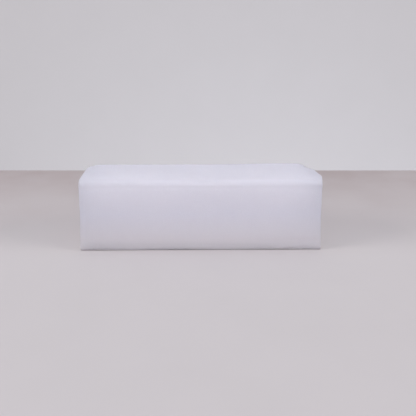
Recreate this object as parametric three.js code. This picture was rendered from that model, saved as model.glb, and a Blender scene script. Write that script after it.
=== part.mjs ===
// A nail buffer block: a stick of soft white foam, square in section, with one abrasive sheet
// glued round its four long sides. Both cut ends are left bare, so the layers show there.
//
// Lengths are in millimetres. +X runs along the block, -Y is the front, +Z is up, and the
// origin is the middle of the underside.

import * as THREE from 'three';

// Driving dimensions of the finished block
const BLOCK_LENGTH = 90;
const BLOCK_SIDE = 27;
const EDGE_RADIUS = 2.2;

// Thickness of each layer of the wrap, from the skin inwards
const ABRASIVE_THICKNESS = 0.15;
const BACKING_THICKNESS = 0.25;
const ADHESIVE_THICKNESS = 0.1;

// The two long edges of the sheet meet in a butt seam low on the back face
const SEAM_HEIGHT = 5;
const SEAM_GAP = 0.3;

// The cut foam springs back a little, so the edge of the sheet stands proud of both ends
const FOAM_END_RECESS = 0.3;
const ADHESIVE_END_RECESS = 0.15;

// Number of flat facets that stand for the curve of each rounded long edge
const FACETS_PER_EDGE = 16;

// Depth of each layer boundary below the outer surface of the block
const UNDER_ABRASIVE = ABRASIVE_THICKNESS;
const UNDER_BACKING = UNDER_ABRASIVE + BACKING_THICKNESS;
const UNDER_ADHESIVE = UNDER_BACKING + ADHESIVE_THICKNESS;

// The section is drawn looking along the block: x is towards the back and y is up.
const HALF_SIDE = BLOCK_SIDE / 2;
const QUARTER_TURN = Math.PI / 2;

// The four long edges in the order they are met going round the section from the seam:
// which side of the section's middle each one is on, and the angle where its arc starts.
const LONG_EDGES = [
  { back: 1, up: 1, angle: 0 },
  { back: -1, up: 1, angle: QUARTER_TURN },
  { back: -1, up: -1, angle: 2 * QUARTER_TURN },
  { back: 1, up: -1, angle: 3 * QUARTER_TURN },
];

// Carries a path round the rounded long edges at one depth. The arcs of every layer share their
// centres, so each layer lies snugly on the one below it.
function followEdges(path, depth, edges, backwards) {
  const centreOffset = HALF_SIDE - EDGE_RADIUS;
  const radius = EDGE_RADIUS - depth;
  for (const edge of edges) {
    const first = backwards ? edge.angle + QUARTER_TURN : edge.angle;
    const last = backwards ? edge.angle : edge.angle + QUARTER_TURN;
    const centreX = edge.back * centreOffset;
    const centreY = HALF_SIDE + edge.up * centreOffset;
    path.absarc(centreX, centreY, radius, first, last, backwards);
  }
}

// Section of a solid stick whose surface lies at the given depth
function solidSection(depth) {
  const section = new THREE.Shape();
  section.moveTo(HALF_SIDE - depth, SEAM_HEIGHT);
  followEdges(section, depth, LONG_EDGES, false);
  section.closePath();
  return section;
}

// Section of one wrapped layer: round the outside from one lip of the seam to the other, then
// back again round the inside
function wrappedSection(outerDepth, innerDepth) {
  const outerFace = HALF_SIDE - outerDepth;
  const innerFace = HALF_SIDE - innerDepth;
  const upperLip = SEAM_HEIGHT + SEAM_GAP / 2;
  const lowerLip = SEAM_HEIGHT - SEAM_GAP / 2;
  const section = new THREE.Shape();
  section.moveTo(outerFace, upperLip);
  followEdges(section, outerDepth, LONG_EDGES, false);
  section.lineTo(outerFace, lowerLip);
  section.lineTo(innerFace, lowerLip);
  followEdges(section, innerDepth, [...LONG_EDGES].reverse(), true);
  section.lineTo(innerFace, upperLip);
  section.closePath();
  return section;
}

// Runs a section along the block, stopping short of each end of the block by endRecess
function runLengthwise(section, endRecess) {
  const length = BLOCK_LENGTH - 2 * endRecess;
  // An arc is drawn with two facets for each curve segment.
  const geometry = new THREE.ExtrudeGeometry(section, {
    depth: length,
    curveSegments: FACETS_PER_EDGE / 2,
    bevelEnabled: false,
  });
  const towardsBack = new THREE.Vector3(0, 1, 0);
  const upwards = new THREE.Vector3(0, 0, 1);
  const alongBlock = new THREE.Vector3(1, 0, 0);
  geometry.translate(0, 0, -length / 2);
  geometry.applyMatrix4(new THREE.Matrix4().makeBasis(towardsBack, upwards, alongBlock));
  return geometry;
}

function layer(name, geometry, color, roughness) {
  const material = new THREE.MeshStandardMaterial({ color, roughness, metalness: 0 });
  const mesh = new THREE.Mesh(geometry, material);
  mesh.name = name;
  return mesh;
}

// Closed-cell foam stick that gives the block its shape and its spring
function foamCore() {
  const geometry = runLengthwise(solidSection(UNDER_ADHESIVE), FOAM_END_RECESS);
  return layer('foam_core', geometry, 0xf1f1f4, 0.85);
}

// Double-sided film that bonds the sheet to the foam
function adhesiveFilm() {
  const section = wrappedSection(UNDER_BACKING, UNDER_ADHESIVE);
  return layer('adhesive_film', runLengthwise(section, ADHESIVE_END_RECESS), 0xe9e2cf, 0.35);
}

// Paper backing of the abrasive sheet
function backingSheet() {
  const section = wrappedSection(UNDER_ABRASIVE, UNDER_BACKING);
  return layer('backing_sheet', runLengthwise(section, 0), 0xe6e4e0, 0.8);
}

// Fine white grit bonded to the outside of the backing
function abrasiveCoat() {
  const section = wrappedSection(0, UNDER_ABRASIVE);
  return layer('abrasive_coat', runLengthwise(section, 0), 0xe4e3ee, 0.6);
}

const bufferBlock = new THREE.Group();
bufferBlock.add(foamCore(), adhesiveFilm(), backingSheet(), abrasiveCoat());

export default bufferBlock;
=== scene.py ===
import math

import bpy
import numpy as np
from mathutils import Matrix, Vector, noise
from mathutils.kdtree import KDTree


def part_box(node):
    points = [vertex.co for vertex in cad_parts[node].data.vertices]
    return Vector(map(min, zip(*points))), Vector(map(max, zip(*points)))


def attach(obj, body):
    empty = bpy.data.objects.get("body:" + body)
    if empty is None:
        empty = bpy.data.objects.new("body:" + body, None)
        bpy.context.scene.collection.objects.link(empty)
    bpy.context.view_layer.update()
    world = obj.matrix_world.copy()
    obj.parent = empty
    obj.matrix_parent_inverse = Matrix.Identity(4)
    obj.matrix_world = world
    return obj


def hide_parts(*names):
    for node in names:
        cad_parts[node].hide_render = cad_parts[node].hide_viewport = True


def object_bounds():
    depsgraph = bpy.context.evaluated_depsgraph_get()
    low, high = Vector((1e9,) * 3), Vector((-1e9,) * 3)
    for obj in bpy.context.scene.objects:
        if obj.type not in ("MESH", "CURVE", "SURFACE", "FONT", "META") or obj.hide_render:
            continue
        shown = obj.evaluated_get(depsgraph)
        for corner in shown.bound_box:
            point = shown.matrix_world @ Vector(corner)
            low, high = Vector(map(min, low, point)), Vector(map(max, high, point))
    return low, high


# Looks of the nail buffer block: a white foam stick with one fine abrasive sheet wrapped round its
# four long sides. Metres, in the CAD's frame: +X along the block, -Y its front, +Z up, with the
# origin in the middle of the underside.

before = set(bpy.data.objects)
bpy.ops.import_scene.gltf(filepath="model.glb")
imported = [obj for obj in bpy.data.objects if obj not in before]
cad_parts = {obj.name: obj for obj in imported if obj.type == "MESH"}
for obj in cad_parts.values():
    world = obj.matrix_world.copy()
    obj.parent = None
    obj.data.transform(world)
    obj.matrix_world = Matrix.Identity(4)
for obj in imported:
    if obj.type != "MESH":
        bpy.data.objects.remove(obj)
cad_low, cad_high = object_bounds()

MM = 0.001
LENGTH = cad_high.x - cad_low.x
SIDE = cad_high.z - cad_low.z
HALF_LENGTH = LENGTH / 2
HALF_SIDE = SIDE / 2

# The CAD's own values, repeated here because a box doesn't give them
EDGE_RADIUS = 2.2 * MM
SEAM_HEIGHT = 5.0 * MM
SEAM_GAP = 0.3 * MM

# The middles of the rounded long edges are the corners of an inner square, the core, which
# reaches this far from the middle of the section.
CORE = HALF_SIDE - EDGE_RADIUS
QUARTER_TURN = math.pi / 2

# The long edges in the order they are met going round the section from the seam, each as its
# side of the section: (towards the back, upwards)
LONG_EDGES = ((1, 1), (-1, 1), (-1, -1), (1, -1))

# The layers from the skin inwards
LAYERS = ("abrasive_coat", "backing_sheet", "adhesive_film", "foam_core")


# ---------------------------------------------------------------- measures and noise

def depth_of(node):
    """How far the outer surface of a layer lies below the surface of the block."""
    return cad_high.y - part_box(node)[1].y


def recess_of(node):
    """How far a layer stops short of the end of the block."""
    return cad_high.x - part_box(node)[1].x


def smooth_step(value, low, high):
    """0 below low, 1 above high, and a smooth rise in between."""
    share = np.clip((value - low) / (high - low), 0, 1)
    return share * share * (3 - 2 * share)


# How far one seed lies from the next in the endless noise, so that no two patterns match
SEED_STEP = (7.31, 3.17, 5.83)


def noise_at(points, wavelength, seed):
    """Smooth noise of about -1 to 1 at each point, the same in every run."""
    shift = Vector([seed * step for step in SEED_STEP])
    flat = points.reshape(-1, 3) / wavelength
    values = [noise.noise(Vector(p) + shift) for p in flat.tolist()]
    return np.array(values).reshape(points.shape[:-1])


# ---------------------------------------------------------------- the surface that all layers follow

# The sheet bulges a little between its edges, dips just inside each fold and ripples where the
# foam under it is uneven. The underside rests on the table, so it stays flat.
CROWN = 0.10 * MM
FOLD_DIP = 0.07 * MM
FOLD_DIP_AT = 1.5 * MM
FOLD_DIP_WIDTH = 0.9 * MM
RIPPLE = 0.012 * MM
RIPPLE_LENGTH = 11 * MM

# Sine of the downward slope at which a lower fold has become as flat as the underside
FLAT_FROM = 0.6

# The folds that the block stands on are creased tighter than the upper ones.
LOWER_EDGE_RADIUS = 1.0 * MM


def normals(angle):
    """Unit vectors across the section at each angle."""
    return np.stack([np.cos(angle), np.sin(angle)], -1)


def inland_of(core):
    """How far each point of a side lies from the nearer of the two folds beside it."""
    return CORE - np.minimum(np.abs(core[..., 0]), np.abs(core[..., 1]))


def crease(angle):
    """How far a lower fold stands out from the arc that the upper folds follow."""
    cos, sin = np.abs(np.cos(angle)), np.abs(np.sin(angle))
    less, more = np.minimum(cos, sin), np.maximum(cos, sin)

    # Seen from the core's corner, the fold is a tighter arc with a flat on either side of it.
    inset = EDGE_RADIUS - LOWER_EDGE_RADIUS
    under_root = LOWER_EDGE_RADIUS ** 2 - inset ** 2 * (cos - sin) ** 2
    arc = inset * (cos + sin) + np.sqrt(np.maximum(under_root, 0))
    flat = EDGE_RADIUS / more
    on_arc = less * EDGE_RADIUS > more * inset
    return np.where(np.sin(angle) < 0, np.where(on_arc, arc, flat) - EDGE_RADIUS, 0)


def relief(surface, core, angle):
    """How far the block's real surface stands off the plain rounded square, along its normal."""
    inland = inland_of(core)
    crown = CROWN * (1 - (1 - inland / CORE) ** 2)
    dip = FOLD_DIP * np.exp(-((inland - FOLD_DIP_AT) / FOLD_DIP_WIDTH) ** 2)
    ripple = RIPPLE * noise_at(surface, RIPPLE_LENGTH, seed=1)
    facing_down = smooth_step(-np.sin(angle), 0.0, FLAT_FROM)
    return (crown - dip + ripple) * (1 - facing_down) + crease(angle)


def on_block(along, core, angle, depth, extra=0):
    """Points at a depth below the surface. core and angle say where they are round the section."""
    normal = normals(angle)
    skin = core + normal * EDGE_RADIUS
    surface = np.stack([along, skin[..., 0], skin[..., 1] + HALF_SIDE], -1)
    offset = EDGE_RADIUS - depth + relief(surface, core, angle) + extra
    placed = core + normal * offset[..., None]
    return np.stack([along, placed[..., 0], placed[..., 1] + HALF_SIDE], -1)


def mm(*lengths):
    """Lengths in millimetres, as an array in metres."""
    return np.array(lengths) * MM


# Where the soft stick is out of its plain shape: the place, how far it is pushed there along each
# axis, and how far the push reaches along each axis
PUSHES = (
    # The upper left back corner is pressed in a little.
    ((-HALF_LENGTH, HALF_SIDE, SIDE), mm(0.9, -0.7, -0.6), mm(2.4, 6, 4)),
    # The upper right back corner is pressed in further.
    ((HALF_LENGTH, HALF_SIDE, SIDE), mm(-1.6, -1.4, -1.5), mm(3, 9, 4)),
    # The right end of the top bulges near the front.
    ((HALF_LENGTH, -7.5 * MM, SIDE), mm(0.7, 0, 0), mm(4, 3.5, 4)),
    # The top swells towards that end.
    ((31 * MM, 9 * MM, SIDE), mm(0, 0, 0.35), mm(14, 12, 12)),
)


def pushed(points):
    """The same points carried along by the pushes, so that all layers bend together."""
    moved = points.copy()
    for place, push, reach in PUSHES:
        away = (points - place) / reach
        moved += np.exp(-(away ** 2).sum(-1))[..., None] * push
    return moved


# ---------------------------------------------------------------- mesh helpers

def grid_faces(index):
    """Quads between the neighbours of a two-way table of vertex numbers."""
    corners = (index[:-1, :-1], index[1:, :-1], index[1:, 1:], index[:-1, 1:])
    return np.stack(corners, -1).reshape(-1, 4)


def add_piece(name, node, material, points, faces, sharp_angle):
    """Makes a mesh that stands for a CAD node and rides on its body. sharp_angle is in degrees."""
    mesh = bpy.data.meshes.new(name)
    mesh.from_pydata(pushed(points).tolist(), [], faces.tolist())
    mesh.materials.append(material)
    mesh.shade_smooth()
    mesh.set_sharp_from_angle(angle=math.radians(sharp_angle))
    piece = bpy.data.objects.new(name, mesh)
    bpy.context.scene.collection.objects.link(piece)
    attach(piece, "root")
    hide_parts(node)
    return piece


def add_values(piece, name, values):
    """Stores one number for each vertex, for the material to read."""
    attribute = piece.data.attributes.new(name, "FLOAT", "POINT")
    attribute.data.foreach_set("value", values.astype(np.float32).ravel())


# How much of the spacing along the block is drawn towards its ends, from 0 to 1
STATION_BUNCHING = 0.25


def stations(half_length, step):
    """Places along the block about step apart, closer together near its ends."""
    count = round(2 * half_length / step)
    even = np.linspace(-1, 1, count + 1)
    bunched = np.sin(even * QUARTER_TURN)
    return half_length * ((1 - STATION_BUNCHING) * even + STATION_BUNCHING * bunched)


# ---------------------------------------------------------------- the wrapped sheet

# The knife's cut dishes, wanders and frays within END_ZONE of each end.
END_ZONE = 3.0 * MM
END_DISH = 0.2 * MM
CUT_WANDER = 0.05 * MM
CUT_WANDER_LENGTH = 6 * MM
CUT_FRAY = 0.03 * MM
CUT_FRAY_LENGTH = 0.7 * MM

# Real relief of the grit
GRAIN_RELIEF = 0.006 * MM
GRAIN_LENGTH = 1.1 * MM

# The folds are darkened most, as painted shade that tones down their highlight, and the cut ends
# less, as rub wear from handling. The ends let less light through.
SHADED_FOLD = 1.5 * MM
RUBBED_END = 1.2 * MM
END_RUB = 0.6
GLOW_FADE = 5.0 * MM


def straight(start, end, step):
    """Evenly spaced places from just past start up to end, no more than step apart."""
    count = math.ceil(np.abs(end - start).max() / step)
    shares = np.arange(1, count + 1)[:, None] / count
    return start + (end - start) * shares


def round_section(step, arc_steps):
    """Walks round the section from the upper lip of the seam to the lower one.
    Returns each point's place on the core and the angle of its normal."""
    upper_lip = np.array([CORE, SEAM_HEIGHT - HALF_SIDE + SEAM_GAP / 2])
    lower_lip = np.array([CORE, SEAM_HEIGHT - HALF_SIDE - SEAM_GAP / 2])
    arc = np.arange(1, arc_steps + 1) / arc_steps
    cores, angles = [upper_lip[None]], [np.zeros(1)]
    here = upper_lip
    for turn, edge in enumerate(LONG_EDGES):
        corner = np.array(edge) * CORE
        side = straight(here, corner, step)
        cores += [side, np.repeat(corner[None], arc_steps, 0)]
        angles += [np.full(len(side), turn * QUARTER_TURN), (turn + arc) * QUARTER_TURN]
        here = corner
    side = straight(here, lower_lip, step)
    cores.append(side)
    angles.append(np.full(len(side), len(LONG_EDGES) * QUARTER_TURN))
    return np.concatenate(cores), np.concatenate(angles)


def cut_back(core, angle, end, seed):
    """How far the knife's cut wanders in from a layer's nominal end, round the section."""
    dish = END_DISH * smooth_step(inland_of(core), 0, CORE)
    rim = np.column_stack([np.full(len(angle), end), core + EDGE_RADIUS * normals(angle)])
    wander = CUT_WANDER * (1 + noise_at(rim, CUT_WANDER_LENGTH, seed)) / 2
    fray = CUT_FRAY * (1 + noise_at(rim, CUT_FRAY_LENGTH, seed + 1)) / 2
    return dish + wander + fray


def trimmed(along, core, angle, half_length, seed):
    """The stations along each line of the mesh, drawn in near both ends to meet the cuts."""
    near_end = smooth_step(np.abs(along), half_length - END_ZONE, half_length)
    right_cut = cut_back(core, angle, half_length, seed)
    left_cut = cut_back(core, angle, -half_length, seed)
    cuts = np.where(along[None] > 0, right_cut[:, None], left_cut[:, None])
    return along[None] - np.sign(along)[None] * cuts * near_end[None]


def shell_faces(index, count):
    """Faces of a shell. Each loop of index is count points out over the outer skin, and then as
    many back along the inner one."""
    skin = grid_faces(np.concatenate([index, index[:1]]))
    outer_rim, inner_rim = index[:count], index[count:][::-1]
    right_end = grid_faces(np.stack([outer_rim[:, -1], inner_rim[:, -1]], -1))
    left_end = grid_faces(np.stack([inner_rim[:, 0], outer_rim[:, 0]], -1))
    return np.concatenate([skin, right_end, left_end])


def add_wear_and_fold_shade(piece, x, core, half_length):
    """Tells the material where a layer's folds get painted shade and its cut ends rub wear, and
    where it is near a cut end.
    """
    # The folds get painted shade that tones down their highlight; the cut ends get rub wear.
    fold = 1 - smooth_step(inland_of(core), 0, SHADED_FOLD)
    end = smooth_step(np.abs(x), half_length - RUBBED_END, half_length)
    rub_and_fold_shade = np.maximum(fold, END_RUB * end)
    near_cut = smooth_step(np.abs(x), half_length - GLOW_FADE, half_length)
    add_values(piece, "rub_and_fold_shade", np.concatenate([rub_and_fold_shade, rub_and_fold_shade[::-1]]))
    add_values(piece, "near_cut", np.concatenate([near_cut, near_cut[::-1]]))


def wrapped_layer(name, material, step, arc_steps, seed, grain=0.0):
    """One layer of the sheet: a thin closed shell that goes round the foam from lip to lip."""
    layer_below = LAYERS[LAYERS.index(name) + 1]
    half_length = HALF_LENGTH - recess_of(name)
    core, angle = round_section(step, arc_steps)
    along = stations(half_length, step)
    x = trimmed(along, core, angle, half_length, seed)
    core = np.repeat(core[:, None], len(along), 1)
    angle = np.repeat(angle[:, None], len(along), 1)

    outside = on_block(x, core, angle, depth_of(name))
    if grain:
        roughened = grain * noise_at(outside, GRAIN_LENGTH, seed + 5)
        outside = on_block(x, core, angle, depth_of(name), roughened)
    inside = on_block(x, core, angle, depth_of(layer_below))

    loop = np.concatenate([outside, inside[::-1]])
    index = np.arange(loop.shape[0] * loop.shape[1]).reshape(loop.shape[:2])
    faces = shell_faces(index, len(outside))
    points = loop.reshape(-1, 3)
    piece = add_piece(name + "_look", name, material, points, faces, sharp_angle=40)
    add_wear_and_fold_shade(piece, x, core, half_length)


# ---------------------------------------------------------------- the foam

FOAM_GRID = 150
FOAM_STEP = 1.0 * MM
FOAM_DISH = 0.35 * MM

# Cut bubbles, whose scatter and radii are shares of their spacing
PORE_SPACING = 0.46 * MM
PORE_SCATTER = 0.45
PORE_RADII = (0.30, 0.62)
PORE_DEPTH = 0.05 * MM
PORE_SEED = 20

# Drag lines of the knife. They fade out near the rim, over this share of the way to the middle.
KNIFE_MARK = 0.02 * MM
KNIFE_MARK_SPACING = 1.7 * MM
KNIFE_MARK_LENGTH = 30 * KNIFE_MARK_SPACING
KNIFE_MARK_FADE = 0.05
KNIFE_TILT = math.radians(8)
KNIFE_SEED = 11


def nearest_core(square):
    """The nearest place on the core to each point outside it, and the angle of the way there."""
    core = np.clip(square, -CORE, CORE)
    outwards = square - core
    return core, np.arctan2(outwards[..., 1], outwards[..., 0])


def pores(across, up, seed):
    """Depth of the cut bubbles at each point of a flat cut through the foam."""
    rng = np.random.default_rng(seed)
    count = math.ceil(SIDE / PORE_SPACING) + 2
    places = (np.indices((count, count)).reshape(2, -1).T - count / 2) * PORE_SPACING
    places = places + rng.uniform(-PORE_SCATTER, PORE_SCATTER, places.shape) * PORE_SPACING
    radii = rng.uniform(*PORE_RADII, len(places)) * PORE_SPACING

    # Each bubble is a round hollow about its own place.
    tree = KDTree(len(places))
    for number, (a, b) in enumerate(places.tolist()):
        tree.insert((a, b, 0), number)
    tree.balance()
    depths = []
    for a, b in np.stack([across, up], -1).reshape(-1, 2).tolist():
        _, number, away = tree.find((a, b, 0))
        depths.append(math.sqrt(max(0.0, 1 - (away / radii[number]) ** 2)))
    return PORE_DEPTH * np.array(depths).reshape(across.shape)


def knife_marks(across, up, seed):
    """Depth of the drag lines at each point of a flat cut through the foam."""
    swept = across * math.cos(KNIFE_TILT) + up * math.sin(KNIFE_TILT)
    stretched = np.stack([swept / KNIFE_MARK_SPACING, up / KNIFE_MARK_LENGTH, 0 * up], -1)
    return KNIFE_MARK * noise_at(stretched, 1, seed)


def foam_end(side, half_length, depth):
    """The cut face at one end of the stick, as a table of points. side is -1 or 1."""
    even = np.linspace(-1, 1, FOAM_GRID + 1)
    a, b = np.meshgrid(even, even, indexing="ij")

    # ring is 0 in the middle of the cut and 1 at its rim.
    ring = np.maximum(np.abs(a), np.abs(b))
    scale = HALF_SIDE / np.where(ring == 0, 1, ring)
    core, angle = nearest_core(np.stack([a * scale, b * scale], -1))
    rim = on_block(np.full(a.shape, side * half_length), core, angle, depth)
    across = rim[..., 1] * ring
    up = (rim[..., 2] - HALF_SIDE) * ring

    dish = FOAM_DISH * (1 - ring ** 2)
    marks = knife_marks(across, up, KNIFE_SEED + side)
    faded = marks * smooth_step(1 - ring, 0, KNIFE_MARK_FADE)
    cut = dish + pores(across, up, PORE_SEED + side) + faded
    return np.stack([side * (half_length - cut), across, up + HALF_SIDE], -1)


def foam_stick(name, material):
    """The foam as one closed body: two cut faces joined by the sides that the sheet covers."""
    depth = depth_of(name)
    half_length = HALF_LENGTH - recess_of(name)
    left = foam_end(-1, half_length, depth).reshape(-1, 3)
    right = foam_end(1, half_length, depth).reshape(-1, 3)
    size = FOAM_GRID + 1
    index = np.arange(size * size).reshape(size, size)
    edge = np.concatenate([index[:-1, 0], index[-1, :-1], index[:0:-1, -1], index[0, :0:-1]])

    # Rings between the two cut faces follow the rim of the left one.
    core, angle = nearest_core(left[edge, 1:] - (0, HALF_SIDE))
    rings = []
    for place in stations(half_length, FOAM_STEP)[1:-1]:
        rings.append(on_block(np.full(len(edge), place), core, angle, depth))

    points = np.concatenate([left, right, *rings])
    first_ring = 2 * size * size
    ring_index = first_ring + np.arange(len(edge) * len(rings)).reshape(len(rings), -1)
    loops = np.concatenate([edge[None], ring_index, edge[None] + size * size])
    loops = np.concatenate([loops, loops[:, :1]], 1)
    faces = np.concatenate([
        grid_faces(index.T),
        grid_faces(index + size * size),
        grid_faces(loops.T),
    ])
    return add_piece(name + "_look", name, material, points, faces, sharp_angle=60)


# ---------------------------------------------------------------- materials

# How far light spreads inside the coat with the foam behind it, in bare foam and in the film,
# and how much of that reach red, green and blue light have
COAT_GLOW = 16 * MM
COAT_GLOW_TINT = (1.0, 0.94, 0.88)
FOAM_GLOW = 10 * MM
FOAM_GLOW_TINT = (1.0, 0.92, 0.88)
FILM_GLOW = 1 * MM

# Going down, the coat takes on painted warm light bounced up off the table: it begins to be a touch
# less blue at the first height, and is so fully below the second.
BOUNCE_TINT_BELOW = 14 * MM
FULL_BOUNCE_TINT_BELOW = 4 * MM


def linear(red, green, blue):
    """A colour given as the eye sees it, from 0 to 1, as the renderer's own value."""
    parts = []
    for part in (red, green, blue):
        parts.append(part / 12.92 if part <= 0.04045 else ((part + 0.055) / 1.055) ** 2.4)
    return (*parts, 1.0)


def colour_socket(sockets, name):
    """The colour socket of a mix node, which has one of the same name for each kind of value."""
    return next(s for s in sockets if s.name == name and s.type == "RGBA")


class Finish:
    """A Principled material, with short ways to add the nodes that drive it."""

    def __init__(self, name):
        self.material = bpy.data.materials.new(name)
        self.material.use_nodes = True
        self.tree = self.material.node_tree
        self.shader = self.tree.nodes["Principled BSDF"]
        self.place = self.tree.nodes.new("ShaderNodeTexCoord").outputs["Object"]

    def plug(self, socket, value):
        """Links value to a socket if it comes from a node, and otherwise sets it."""
        if isinstance(value, bpy.types.NodeSocket):
            self.tree.links.new(value, socket)
        else:
            socket.default_value = value

    def node(self, kind, inputs):
        """A new node with its inputs linked or set by name."""
        made = self.tree.nodes.new(kind)
        for name, value in inputs.items():
            self.plug(made.inputs[name], value)
        return made

    def set(self, **inputs):
        """Links or sets the shader's own inputs, whose names have _ for a space here."""
        for name, value in inputs.items():
            self.plug(self.shader.inputs[name.replace("_", " ")], value)

    def stretched(self, x, y, z):
        """Place on the object times a factor along each axis. A small one draws texture out."""
        made = self.node("ShaderNodeMapping", {"Vector": self.place})
        made.inputs["Scale"].default_value = (x, y, z)
        return made.outputs["Vector"]

    def noise(self, size, detail=2.0, roughness=0.5, place=None):
        """Cloudy noise from 0 to 1 whose blotches are about size metres across."""
        made = self.node("ShaderNodeTexNoise", {
            "Vector": place or self.place,
            "Scale": 1 / size,
            "Detail": detail,
            "Roughness": roughness,
        })
        return made.outputs["Fac"]

    def cells(self, size):
        """Distance from the middle of round cells of about size metres, 0 to 1."""
        made = self.node("ShaderNodeTexVoronoi", {"Vector": self.place, "Scale": 1 / size})
        return made.outputs["Distance"]

    def axis(self, letter):
        """Place along one axis, in metres."""
        parts = self.node("ShaderNodeSeparateXYZ", {"Vector": self.place})
        return parts.outputs[letter]

    def attribute(self, name):
        """The number stored under this name at each vertex."""
        made = self.tree.nodes.new("ShaderNodeAttribute")
        made.attribute_name = name
        return made.outputs["Fac"]

    def remap(self, value, low, high, new_low, new_high):
        """Carries the range low to high over to new_low to new_high, and stops at its ends."""
        made = self.node("ShaderNodeMapRange", {
            "Value": value,
            "From Min": low,
            "From Max": high,
            "To Min": new_low,
            "To Max": new_high,
        })
        return made.outputs["Result"]

    def math(self, operation, first, second):
        """Sum or product of two values, as the operation says."""
        made = self.tree.nodes.new("ShaderNodeMath")
        made.operation = operation
        self.plug(made.inputs[0], first)
        self.plug(made.inputs[1], second)
        return made.outputs[0]

    def blend(self, share, first, second):
        """Colour first where share is 0 and second where it is 1."""
        made = self.tree.nodes.new("ShaderNodeMix")
        made.data_type = "RGBA"
        self.plug(made.inputs["Factor"], share)
        self.plug(colour_socket(made.inputs, "A"), first)
        self.plug(colour_socket(made.inputs, "B"), second)
        return colour_socket(made.outputs, "Result")

    def bump(self, height, distance, strength=1.0, under=None):
        """Raises the surface by height times distance, on top of another bump."""
        inputs = {"Height": height, "Distance": distance, "Strength": strength}
        if under is not None:
            inputs["Normal"] = under
        return self.node("ShaderNodeBump", inputs).outputs["Normal"]


def abrasive_finish():
    """Fine white grit in resin: satin, faintly bluish, with a soft glow from the light inside it."""
    finish = Finish("fine_white_abrasive")
    white = linear(0.889, 0.887, 0.942)
    shaded = linear(0.880, 0.878, 0.935)
    between = linear(0.863, 0.861, 0.918)
    speck = linear(0.782, 0.772, 0.813)
    # Darker tone: painted shade on the folds, rub wear near the cut ends
    rubbed_and_shaded = linear(0.862, 0.860, 0.914)
    # Painted warm bounce light from the table, for the lower part of the coat
    painted_bounce = linear(0.900, 0.872, 0.880)

    blotches = finish.noise(9 * MM, detail=3.0)
    grains = finish.cells(0.24 * MM)
    dust = finish.noise(0.5 * MM, detail=4.0, roughness=0.65)
    dark_grain = finish.cells(1.3 * MM)
    patchy = finish.remap(dust, 0.35, 0.60, 0.6, 1.0)
    rub_and_fold_shade = finish.math("MULTIPLY", finish.attribute("rub_and_fold_shade"), patchy)
    bounce_share = finish.remap(finish.axis("Z"), FULL_BOUNCE_TINT_BELOW, BOUNCE_TINT_BELOW, 0.5, 0.0)

    # Soft blotches, the gaps between the grains and the odd dark grain, then painted shade on the
    # folds with rub wear at the cut ends, and painted warm bounce light low down
    tone = finish.blend(finish.remap(blotches, 0.35, 0.65, 0, 1), shaded, white)
    tone = finish.blend(finish.remap(grains, 0.25, 0.65, 0.0, 0.7), tone, between)
    tone = finish.blend(finish.remap(dark_grain, 0.07, 0.03, 0.0, 0.6), tone, speck)
    # Painted shade on the folds to tone down their highlight, and rub wear at the cut ends
    tone = finish.blend(rub_and_fold_shade, tone, rubbed_and_shaded)
    # Painted warm bounce light from the table, stronger towards the bottom of the coat
    tone = finish.blend(bounce_share, tone, painted_bounce)

    # The resin is duller between the grains, and the glow dims towards the cut ends.
    gloss = finish.remap(dust, 0.3, 0.7, 0.50, 0.64)
    gloss = finish.math("ADD", gloss, finish.remap(grains, 0.0, 0.7, -0.06, 0.06))
    fine = finish.bump(grains, 0.022 * MM, 0.55)
    coarse = finish.bump(dust, 0.045 * MM, 0.35, under=fine)
    glow = finish.remap(finish.attribute("near_cut"), 0, 1, 1.0, 0.3)

    finish.set(Base_Color=tone, Roughness=gloss, Normal=coarse, Specular_IOR_Level=0.25)
    finish.set(Subsurface_Weight=glow, Subsurface_Scale=COAT_GLOW, Subsurface_Radius=COAT_GLOW_TINT)
    finish.shader.subsurface_method = "BURLEY"
    return finish.material


def backing_finish():
    """White paper with short fibres, seen where the sheet is cut."""
    finish = Finish("backing_paper")
    dull = linear(0.84, 0.83, 0.82)
    bright = linear(0.94, 0.93, 0.91)
    warm = linear(0.88, 0.86, 0.83)

    along_block = finish.stretched(0.3, 1, 1)
    fibres = finish.noise(0.12 * MM, detail=4.0, roughness=0.7, place=along_block)
    layers = finish.noise(0.6 * MM)
    tone = finish.blend(finish.remap(fibres, 0.35, 0.65, 0, 1), dull, bright)
    tone = finish.blend(finish.remap(layers, 0.4, 0.7, 0, 0.4), tone, warm)
    finish.set(Base_Color=tone, Roughness=finish.remap(fibres, 0.3, 0.7, 0.78, 0.95))
    finish.set(Normal=finish.bump(fibres, 0.03 * MM, 0.8), Specular_IOR_Level=0.25)
    return finish.material


def adhesive_finish():
    """Clear acrylic film gone faintly cream, with small trapped bubbles."""
    finish = Finish("adhesive_acrylic")
    cream = linear(0.87, 0.84, 0.76)
    pale = linear(0.92, 0.90, 0.84)
    bubble = linear(0.96, 0.95, 0.92)

    bubbles = finish.cells(0.35 * MM)
    flow = finish.noise(1.2 * MM)
    tone = finish.blend(finish.remap(flow, 0.35, 0.65, 0, 1), cream, pale)
    tone = finish.blend(finish.remap(bubbles, 0.18, 0.10, 0, 0.5), tone, bubble)
    finish.set(Base_Color=tone, Roughness=finish.remap(flow, 0.3, 0.7, 0.28, 0.45))
    finish.set(Normal=finish.bump(bubbles, 0.02 * MM, 0.5))
    finish.set(Subsurface_Weight=0.5, Subsurface_Scale=FILM_GLOW)
    return finish.material


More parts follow.
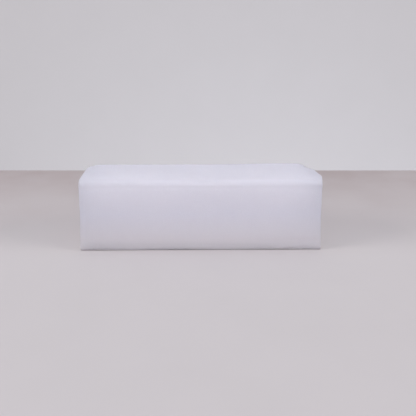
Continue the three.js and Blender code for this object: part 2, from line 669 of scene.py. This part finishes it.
def foam_finish():
    """Matt white closed-cell foam: cut bubbles with painted shade in their hollows and thin bright
    walls, and knife drag lines.
    """
    finish = Finish("white_cell_foam")
    wall = linear(0.945, 0.942, 0.950)
    # Painted shade for the bubble hollows
    shaded_hollow = linear(0.885, 0.880, 0.895)
    dragged = linear(0.90, 0.895, 0.90)
    cloudy = linear(0.93, 0.925, 0.94)

    bubbles = finish.cells(0.34 * MM)
    small = finish.cells(0.15 * MM)
    drag = finish.noise(0.55 * MM, detail=3.0, place=finish.stretched(1.0, 1.0, 0.06))
    clouds = finish.noise(5 * MM)
    # The cell middles, which the bumps sink into pits, get the painted shade
    tone = finish.blend(finish.remap(bubbles, 0.12, 0.62, 0.0, 1.0), shaded_hollow, wall)
    tone = finish.blend(finish.remap(small, 0.05, 0.50, 0.45, 0.0), tone, shaded_hollow)
    tone = finish.blend(finish.remap(drag, 0.50, 0.72, 0.0, 0.35), tone, dragged)
    tone = finish.blend(finish.remap(clouds, 0.4, 0.65, 0.0, 0.25), tone, cloudy)

    pits = finish.bump(bubbles, 0.05 * MM, 0.6)
    grain = finish.bump(small, 0.03 * MM, 0.6, under=pits)
    lines = finish.bump(drag, 0.03 * MM, 0.35, under=grain)
    dullness = finish.remap(small, 0.0, 0.5, 0.92, 0.76)
    finish.set(Base_Color=tone, Roughness=dullness, Normal=lines, Specular_IOR_Level=0.2)
    finish.set(Subsurface_Weight=1.0, Subsurface_Scale=FOAM_GLOW, Subsurface_Radius=FOAM_GLOW_TINT)
    finish.shader.subsurface_method = "BURLEY"
    return finish.material


def table_finish():
    """Pale laminate, nearly plain, with painted shade that makes it a little browner and darker
    towards its far edge, where the light falls off.
    """
    finish = Finish("pale_table")
    near = linear(0.831, 0.814, 0.830)
    # Painted shade of the light falling off towards the back edge
    far = linear(0.706, 0.662, 0.670)
    mottled = linear(0.812, 0.796, 0.811)

    mottle = finish.noise(30 * MM, detail=3.0)
    grain = finish.noise(0.6 * MM)
    # The painted shade grows from just in front of the block to the back edge
    distance = finish.remap(finish.axis("Y"), TABLE_SHADE_FRONT, TABLE_BACK_EDGE, 0, 1)
    tone = finish.blend(distance, near, far)
    tone = finish.blend(finish.remap(mottle, 0.35, 0.65, 0, 0.3), tone, mottled)
    finish.set(Base_Color=tone, Roughness=finish.remap(mottle, 0.3, 0.7, 0.58, 0.66))
    finish.set(Normal=finish.bump(grain, 0.02 * MM, 0.3), Specular_IOR_Level=0.15)
    return finish.material


def wall_finish():
    """Painted wall."""
    finish = Finish("pale_wall")
    mottle = finish.noise(60 * MM, detail=3.0)
    stipple = finish.noise(3 * MM, detail=3.0)
    tone = finish.blend(mottle, linear(0.775, 0.764, 0.782), linear(0.788, 0.776, 0.795))
    finish.set(Base_Color=tone, Roughness=0.8, Normal=finish.bump(stipple, 0.2 * MM, 0.3))
    return finish.material


# ---------------------------------------------------------------- table, wall, light and camera

# Places and sizes here are in metres.
TABLE_BACK_EDGE = 0.1085
TABLE_FRONT_EDGE = -0.9
TABLE_HALF_WIDTH = 0.8
TABLE_THICKNESS = 0.025
TABLE_EDGE_RADIUS = 0.0015
# Where the table's painted shade begins
TABLE_SHADE_FRONT = -0.02
WALL_DISTANCE = 0.75
WALL_HALF_SIZE = 2.0

# The camera looks down on the front of the block from just left of its middle.
CAMERA_PLACE = (-0.0005, -0.2642, 0.0950)
CAMERA_TILT_DOWN = math.radians(10.64)
CAMERA_TURN_RIGHT = math.radians(0.73)
CAMERA_LENS_MM = 60.9
CAMERA_SHIFT_DOWN = 0.2

COOL = (0.89, 0.94, 1.0)
WARM = (1.0, 0.94, 0.89)
WHITE = (1.0, 1.0, 1.0, 1.0)
ROOM_BRIGHTNESS = 0.5


def add_table():
    """A slab whose top is where the block stands, with an eased edge. It is square to the camera."""
    bpy.ops.mesh.primitive_cube_add(size=1)
    table = bpy.context.object
    table.name = "table"
    depth = TABLE_BACK_EDGE - TABLE_FRONT_EDGE
    table.scale = (2 * TABLE_HALF_WIDTH, depth, TABLE_THICKNESS)
    table.location = (0, TABLE_BACK_EDGE - depth / 2, cad_low.z - TABLE_THICKNESS / 2)
    table.rotation_euler = (0, 0, -CAMERA_TURN_RIGHT)
    bpy.ops.object.transform_apply(location=True, rotation=True, scale=True)
    eased = table.modifiers.new("eased_edge", "BEVEL")
    eased.width = TABLE_EDGE_RADIUS
    eased.segments = 4
    table.data.materials.append(table_finish())


def add_wall():
    """An upright sheet well behind the table."""
    bpy.ops.mesh.primitive_plane_add(size=2 * WALL_HALF_SIZE, location=(0, WALL_DISTANCE, 0))
    wall = bpy.context.object
    wall.name = "wall"
    wall.rotation_euler = (QUARTER_TURN, 0, 0)
    wall.data.materials.append(wall_finish())


def soft_light(name, place, aim, size, power, colour):
    """A square soft box at place, facing aim. size is its side in metres, power is in watts."""
    data = bpy.data.lights.new(name, "AREA")
    data.shape = "SQUARE"
    data.size = size
    data.energy = power
    data.color = colour
    light = bpy.data.objects.new(name, data)
    light.location = place
    light.rotation_euler = (Vector(aim) - Vector(place)).to_track_quat("-Z", "Y").to_euler()
    bpy.context.scene.collection.objects.link(light)


def add_lights():
    """A wide cool soft box overhead, a warm one on each side, one for the wall, and the room."""
    block = (0, 0, HALF_SIDE)
    wall = (0.05, WALL_DISTANCE, 0)
    soft_light("overhead", (0, -0.10, 0.90), block, size=1.60, power=3.19, colour=COOL)
    soft_light("left", (-1.50, -0.50, 0.70), block, size=0.90, power=10.4, colour=WARM)
    soft_light("right", (1.50, -0.50, 0.70), block, size=0.90, power=8.8, colour=WARM)
    soft_light("wall_wash", (0.10, 0.30, -0.50), wall, size=0.60, power=2.11, colour=COOL)
    world = bpy.data.worlds.new("room")
    world.use_nodes = True
    backdrop = world.node_tree.nodes["Background"]
    backdrop.inputs["Color"].default_value = WHITE
    backdrop.inputs["Strength"].default_value = ROOM_BRIGHTNESS
    bpy.context.scene.world = world


def add_camera():
    """Looks down on the front of the block, and turns with the table."""
    data = bpy.data.cameras.new("camera")
    data.lens = CAMERA_LENS_MM
    data.shift_y = -CAMERA_SHIFT_DOWN
    data.clip_start = 0.01
    data.clip_end = 20
    camera = bpy.data.objects.new("camera", data)
    camera.location = CAMERA_PLACE
    camera.rotation_euler = (QUARTER_TURN - CAMERA_TILT_DOWN, 0, -CAMERA_TURN_RIGHT)
    bpy.context.scene.collection.objects.link(camera)
    bpy.context.scene.camera = camera


# ---------------------------------------------------------------- the scene

# The coat shows everywhere and has a finer mesh than the two layers that show only as edges.
COAT_STEP = 0.6 * MM
COAT_ARC_STEPS = 16
EDGE_STEP = 1.0 * MM
EDGE_ARC_STEPS = 8

bpy.context.scene.view_settings.view_transform = "Standard"
add_camera()
add_table()
add_wall()
add_lights()

coat = abrasive_finish()
paper = backing_finish()
film = adhesive_finish()
wrapped_layer("abrasive_coat", coat, COAT_STEP, COAT_ARC_STEPS, seed=3, grain=GRAIN_RELIEF)
wrapped_layer("backing_sheet", paper, EDGE_STEP, EDGE_ARC_STEPS, seed=13)
wrapped_layer("adhesive_film", film, EDGE_STEP, EDGE_ARC_STEPS, seed=23)
foam = foam_stick("foam_core", foam_finish())
